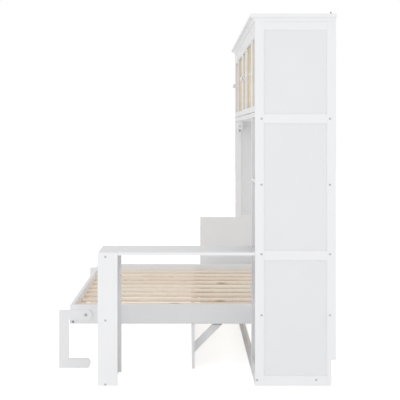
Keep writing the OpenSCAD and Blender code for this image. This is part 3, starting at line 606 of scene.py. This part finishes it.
def joinParts(parts):
    # several (points, faces) as one, with the faces counted on
    offsets = np.cumsum([0] + [len(points) for points, faces in parts[:-1]])
    points = np.concatenate([points for points, faces in parts])
    faces = np.concatenate([faces + offset for (_, faces), offset in zip(parts, offsets)])
    return points, faces


def makePiece(name, points, faces, body, finish, slot, smooth=True):
    mesh = bpy.data.meshes.new(name)
    count = len(faces)
    mesh.vertices.add(len(points))
    mesh.vertices.foreach_set("co", np.asarray(points, np.float32).ravel())
    mesh.loops.add(count * 4)
    mesh.loops.foreach_set("vertex_index", np.asarray(faces, np.int32).ravel())
    mesh.polygons.add(count)
    mesh.polygons.foreach_set("loop_start", np.arange(0, count * 4, 4, dtype=np.int32))
    mesh.polygons.foreach_set("use_smooth", np.full(count, smooth))
    mesh.update(calc_edges=True)
    mesh.materials.append(materials[finish])
    piece = bpy.data.objects.new(name, mesh)
    bpy.context.scene.collection.objects.link(piece)
    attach(piece, body)
    return piece


def strandPoints(run, height, start, direction, side, width, thickness):
    # carries a flat lens-shaped section along a straight run with a given height at each station;
    # the plane is X and Z, and the height is along Y
    centre = start + run[:, None] * direction
    section = np.array([(-0.5, 0.0), (0.0, -0.5), (0.5, 0.0), (0.0, 0.5)])
    flat = centre[:, None, :] + section[None, :, :1] * width * side
    points = np.empty((len(run), 4, 3))
    points[..., 0] = flat[..., 0]
    points[..., 2] = flat[..., 1]
    points[..., 1] = height[:, None] + section[None, :, 1] * thickness
    return points


cane = {
    "cell": 0.0127,       # between the pairs of strands
    "pair": 0.0029,       # between the two strands of a pair
    "width": 0.0023,
    "thickness": 0.0008,
    "lift": 0.00075,      # rise and fall of a strand at its crossings
    "slantWidth": 0.0026,
    "slantLow": 0.0005,   # the slanting strands lie in front by this much
    "slantLift": 0.35,    # their rise and fall, as a share of the others'
    "stations": 2,        # of a strand's path, on each cell that it crosses
}


def strandRuns(width, height):
    # (start, direction, length, phase, kind) of each strand on a panel width by height
    cell, pair = cane["cell"], cane["pair"]
    runs = []
    for i in range(int(width / cell) + 1):
        for k in (-1, 1):
            x = (width % cell) / 2 + i * cell + k * pair / 2
            runs.append(((x, 0.0), (0.0, 1.0), height, 0.0 if k < 0 else math.pi, "up"))
    for i in range(int(height / cell) + 1):
        for k in (-1, 1):
            z = (height % cell) / 2 + i * cell + k * pair / 2
            runs.append(((0.0, z), (1.0, 0.0), width, math.pi if k < 0 else 0.0, "across"))
    for slope in (1, -1):
        for i in range(-int(height / cell) - 1, int(width / cell) + 2):
            x0 = (width % cell) / 2 + (i + 0.5) * cell
            base = x0 if slope > 0 else x0 + height
            # the stretch of the slanting line inside the panel
            low = max(0.0, -base if slope > 0 else base - width)
            high = min(height, width - base if slope > 0 else base)
            if high - low > cell:
                start = (base + slope * low, low)
                length = (high - low) * math.sqrt(2)
                direction = (slope / math.sqrt(2), 1 / math.sqrt(2))
                runs.append((start, direction, length, 0.0, "slant"))
    return runs


def readDoor(i):
    # A sheet turned by the angle a shows width * cos a + thickness * sin a along X and
    # width * sin a + thickness * cos a along Y, so both sizes come from its box.
    # u runs along the shut door from its pivots, v behind them.
    low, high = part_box("door_%d_infill" % i)
    pivot = jointPlace["door_%d_swing" % i]
    ajar = -math.radians(jointOf["door_%d_swing" % i]["range_deg"][0])
    cosine, sine = math.cos(ajar), math.sin(ajar)
    middle, spanX, spanY = (low + high) / 2, high.x - low.x, high.y - low.y
    width = (spanX * cosine - spanY * sine) / math.cos(2 * ajar)
    thickness = (spanY * cosine - spanX * sine) / math.cos(2 * ajar)
    way = 1 if middle.x > pivot.x else -1
    out, back = abs(middle.x - pivot.x), middle.y - pivot.y
    return {"pivot": pivot, "way": way, "turn": (cosine, sine), "width": width,
            "height": high.z - low.z, "u": out * cosine - back * sine - width / 2,
            "v": out * sine + back * cosine, "half": thickness / 2, "z": low.z}


def hangOnDoor(name, points, faces, door, number, finish, slot, smooth=True):
    # points hold (along the sheet, behind its middle, up); they are turned ajar about the pivots
    cosine, sine = door["turn"]
    u, v = points[:, 0] + door["u"], points[:, 1] + door["v"]
    x = door["pivot"].x + door["way"] * (u * cosine + v * sine)
    y = door["pivot"].y - u * sine + v * cosine
    placed = np.stack([x, y, points[:, 2] + door["z"]], axis=-1)
    order = faces if door["way"] > 0 else faces[:, ::-1]
    return makePiece(name, placed, order, "door_%d" % number, finish, slot, smooth), order


def weaveCane(number, door):
    # every strand's height is plus or minus the lift times the cosine of the crossings it passed;
    # its map holds its number plus the place across it, and the metres along it
    parts = []
    strandMap = []
    for strand, (start, direction, length, phase, kind) in enumerate(
            strandRuns(door["width"], door["height"])):
        pitch = cane["cell"] * (math.sqrt(2) if kind == "slant" else 1.0)
        stations = max(3, int(length / pitch * cane["stations"]) + 1)
        run = np.linspace(0.0, length, stations)
        wave = np.cos(run / pitch * 2 * math.pi + phase)
        lift = cane["lift"] * (cane["slantLift"] if kind == "slant" else 1.0)
        level = lift * wave - (cane["slantLow"] if kind == "slant" else 0.0)
        side = np.array([direction[1], -direction[0]])
        wide = cane["slantWidth"] if kind == "slant" else cane["width"]
        points = strandPoints(run, level, np.array(start), np.array(direction), side, wide,
                              cane["thickness"])
        parts.append((points.reshape(-1, 3), gridFaces(stations, 4, closedColumns=True)))
        across = np.tile([0.0, 0.25, 0.5, 0.25], stations) + strand
        strandMap.append(np.stack([across, np.repeat(run, 4)], axis=-1))
    points, faces = joinParts(parts)
    piece, order = hangOnDoor("caneWeave_%d" % number, points, faces, door, number,
                              "splitCane", "woven_cane")
    layer = piece.data.uv_layers.new(name="strand")
    corners = np.concatenate(strandMap)[order.ravel()]
    layer.data.foreach_set("uv", corners.astype(np.float32).ravel())
    return piece


bead = {
    "width": 0.0047,
    "depth": 0.0024,
    # shares of the two, round the section from the outer front corner
    "section": [(0.0, 0.0), (0.0, 1.0), (0.35, 1.0), (0.75, 0.8), (1.0, 0.4), (1.0, 0.0)],
}


def caneBead(number, door):
    # a rounded strip that holds the cane from behind: a section carried round four mitred corners
    section = np.array(bead["section"]) * (bead["width"], bead["depth"])
    corner = np.array([(0, 0), (1, 0), (1, 1), (0, 1)], float)
    inset = section[None, :, :1] * (1 - 2 * corner)[:, None, :]
    flat = (corner * (door["width"], door["height"]))[:, None, :] + inset
    points = np.empty((4, len(section), 3))
    points[..., 0] = flat[..., 0]
    points[..., 2] = flat[..., 1]
    points[..., 1] = door["half"] + section[None, :, 1]
    faces = gridFaces(4, len(section), closedRows=True, closedColumns=True)
    hangOnDoor("caneBead_%d" % number, points.reshape(-1, 3), faces, door, number,
               "whitePaint", "white_paint", smooth=False)


doorCount = sum(name.startswith("door_") and name.endswith("_infill") for name in nodes)
for i in range(1, doorCount + 1):
    door = readDoor(i)
    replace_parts(weaveCane(i, door), "door_%d_infill" % i)
    caneBead(i, door)
print("cane woven into", doorCount, "doors")


screw = {
    "segments": 24,
    # radii of the rings from the rim inwards, as shares of the head's
    "rings": (1.0, 1.0, 0.93, 0.8, 0.62, 0.48, 0.34, 0.2, 0.08, 0.0),
    "domeReach": 0.96,    # the head's radius, as a share of its dome's
    "crossWidth": 0.17,
    "crossLength": 0.62,
    "crossDepth": 0.42,
    "turn": 0.7,          # from one screw to the next, in radians
}


def screwHead(radius, rise):
    # a dome, rise high at its middle, with a cross pressed into it
    share = np.array(screw["rings"])
    lift = np.sqrt(np.maximum(0.0, 1.0 - (share * screw["domeReach"]) ** 2))
    lift[0] = 0.0
    angle = np.linspace(0.0, 2 * math.pi, screw["segments"], endpoint=False)
    x = share[:, None] * np.cos(angle)
    y = share[:, None] * np.sin(angle)
    inCross = ((np.abs(x) < screw["crossWidth"]) & (np.abs(y) < screw["crossLength"])) | (
        (np.abs(y) < screw["crossWidth"]) & (np.abs(x) < screw["crossLength"]))
    z = rise * (lift[:, None] - screw["crossDepth"] * inCross)
    z[0] = 0.0
    points = np.stack([x * radius, y * radius, z], axis=-1).reshape(-1, 3)
    return points, gridFaces(len(share), screw["segments"], closedColumns=True)


def facing(points, direction, place, turn=0.0):
    # turns points that look along +Z to look along the direction, then moves them to the place
    spin = np.array([[math.cos(turn), -math.sin(turn), 0],
                     [math.sin(turn), math.cos(turn), 0], [0, 0, 1]])
    turned = np.array(Vector((0, 0, 1)).rotation_difference(Vector(direction)).to_matrix())
    return points @ (turned @ spin).T + np.array(place)


screwSize = {
    # name: (radius of the head, its rise)
    "plate": (0.0055, 0.0022),
    "strut": (0.0038, 0.0016),
    "slat": (0.0037, 0.0007),
    "flap": (0.0033, 0.0002),     # nearly flush, because leaf and end unit fold face to face
    "angle": (0.0044, 0.0018),
}


def screws(name, size, direction, places, body):
    points, faces = screwHead(*screwSize[size])
    parts = [(facing(points, direction, place, screw["turn"] * k), faces)
             for k, place in enumerate(places)]
    makePiece(name, *joinParts(parts), body, "zincSteel", "zinc_steel")


fixings = {
    "plateHole": 0.036,       # screws of the pivot plates, from the pivot's axis
    "plateThick": 0.005,
    "smallHole": 0.0165,      # screws of the strut plates, from their stud
    "slatScrewIn": 0.0105,    # from a slat's end
    "slatScrewSunk": 0.0002,
    "flapScrewIn": 0.015,     # from the hinge line
    "flapScrews": (-0.021, 0.0, 0.021),
    "flapMiddle": 0.030,      # middle of a hinge, from its end
    "angleHalf": 0.014,       # half the width of a steel angle on the crown
    "angleScrewIn": 0.0143,   # its screw, from the upright leg's back
    "angleThick": 0.002,
    "braceHalf": 0.009,
    "cleatScrew": 0.015,      # screws of the cleats, to each side of a brace's middle
    "cleatScrewIn": 0.029,    # from the cleat's edge
    "angleScrewSunk": 0.0003,
}


def plateScrews():
    # four screws in each plate of the pivots and the struts, which look away from the wood
    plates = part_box("pivot_brackets")
    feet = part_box("strut_plates")
    pivot = jointPlace["bed_fold"]
    upper = jointPlace["strut_near_tilt"]
    footY, footZ = (feet[0].y + feet[1].y) / 2, (feet[0].z + feet[1].z) / 2
    reach, small, thick = fixings["plateHole"], fixings["smallHole"], fixings["plateThick"]
    corners = [(a, b) for a in (-1, 1) for b in (-1, 1)]
    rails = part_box("bed_end_rails")
    for end, side, way in (("near", 1, -1), ("far", 0, 1)):
        face = plates[side].x + way * thick
        places = [(face, pivot.y + a * reach, pivot.z + b * reach) for a, b in corners]
        screws("pivotPlateScrews_" + end, "plate", (way, 0, 0), places, "cabinet")
        places = [(face, upper.y + a * small, upper.z + b * small) for a, b in corners]
        screws("strutPlateScrews_" + end, "strut", (way, 0, 0), places, "cabinet")
        face = rails[side].x - way * thick
        places = [(face, footY + a * small, footZ + b * small) for a, b in corners]
        screws("strutFootScrews_" + end, "strut", (-way, 0, 0), places, "bed")


def slatScrews():
    # one screw at each end of a slat
    low, high = slatBox
    middles = low.x + slat["width"] / 2 + slatPitch * np.arange(slat["count"])
    places = [(x, y, high.z - fixings["slatScrewSunk"]) for x in middles
              for y in (low.y + fixings["slatScrewIn"], high.y - fixings["slatScrewIn"])]
    screws("slatScrews", "slat", (0, 0, 1), places, "bed")


def hingeScrews():
    # three screws in each flap of the desk's hinges; the upper ones look up, the lower ones down
    leaf = jointPlace["leaf_fold"]
    unit = jointPlace["end_unit_swing"]
    low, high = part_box("leaf_hinges")
    middles = (low.x + fixings["flapMiddle"], high.x - fixings["flapMiddle"])
    inset = fixings["flapScrewIn"]
    rows = (("leafHingeScrews", "cabinet", leaf.y + inset, leaf.z, 1),
            ("leafFlapScrews", "leaf", leaf.y - inset, leaf.z, 1),
            ("leafFootScrews", "leaf", unit.y + inset, unit.z, -1),
            ("unitFlapScrews", "end_unit", unit.y - inset, unit.z, -1))
    for name, body, y, z, way in rows:
        places = [(middle + along, y, z) for middle in middles for along in fixings["flapScrews"]]
        screws(name, "flap", (0, 0, way), places, body)


def bracketScrews():
    # one screw in the lying leg of each steel angle on the crown
    low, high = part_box("wall_brackets")
    level = low.z + fixings["angleThick"] - fixings["angleScrewSunk"]
    places = [(x, high.y - fixings["angleScrewIn"], level)
              for x in (low.x + fixings["angleHalf"], high.x - fixings["angleHalf"])]
    screws("bracketScrews", "angle", (0, 0, 1), places, "cabinet")


def cleatScrews():
    # two screws from below in the upper cleat of each of the three braces
    low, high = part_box("braces")
    half, apart = fixings["braceHalf"], fixings["cleatScrew"]
    middles = (low.x + half, (low.x + high.x) / 2, high.x - half)
    level = high.z + fixings["angleScrewSunk"]
    places = [(x + way * apart, high.y - fixings["cleatScrewIn"], level)
              for x in middles for way in (-1, 1)]
    screws("cleatScrews", "angle", (0, 0, -1), places, "bed")


plateScrews()
slatScrews()
hingeScrews()
bracketScrews()
cleatScrews()
print("screws in place")
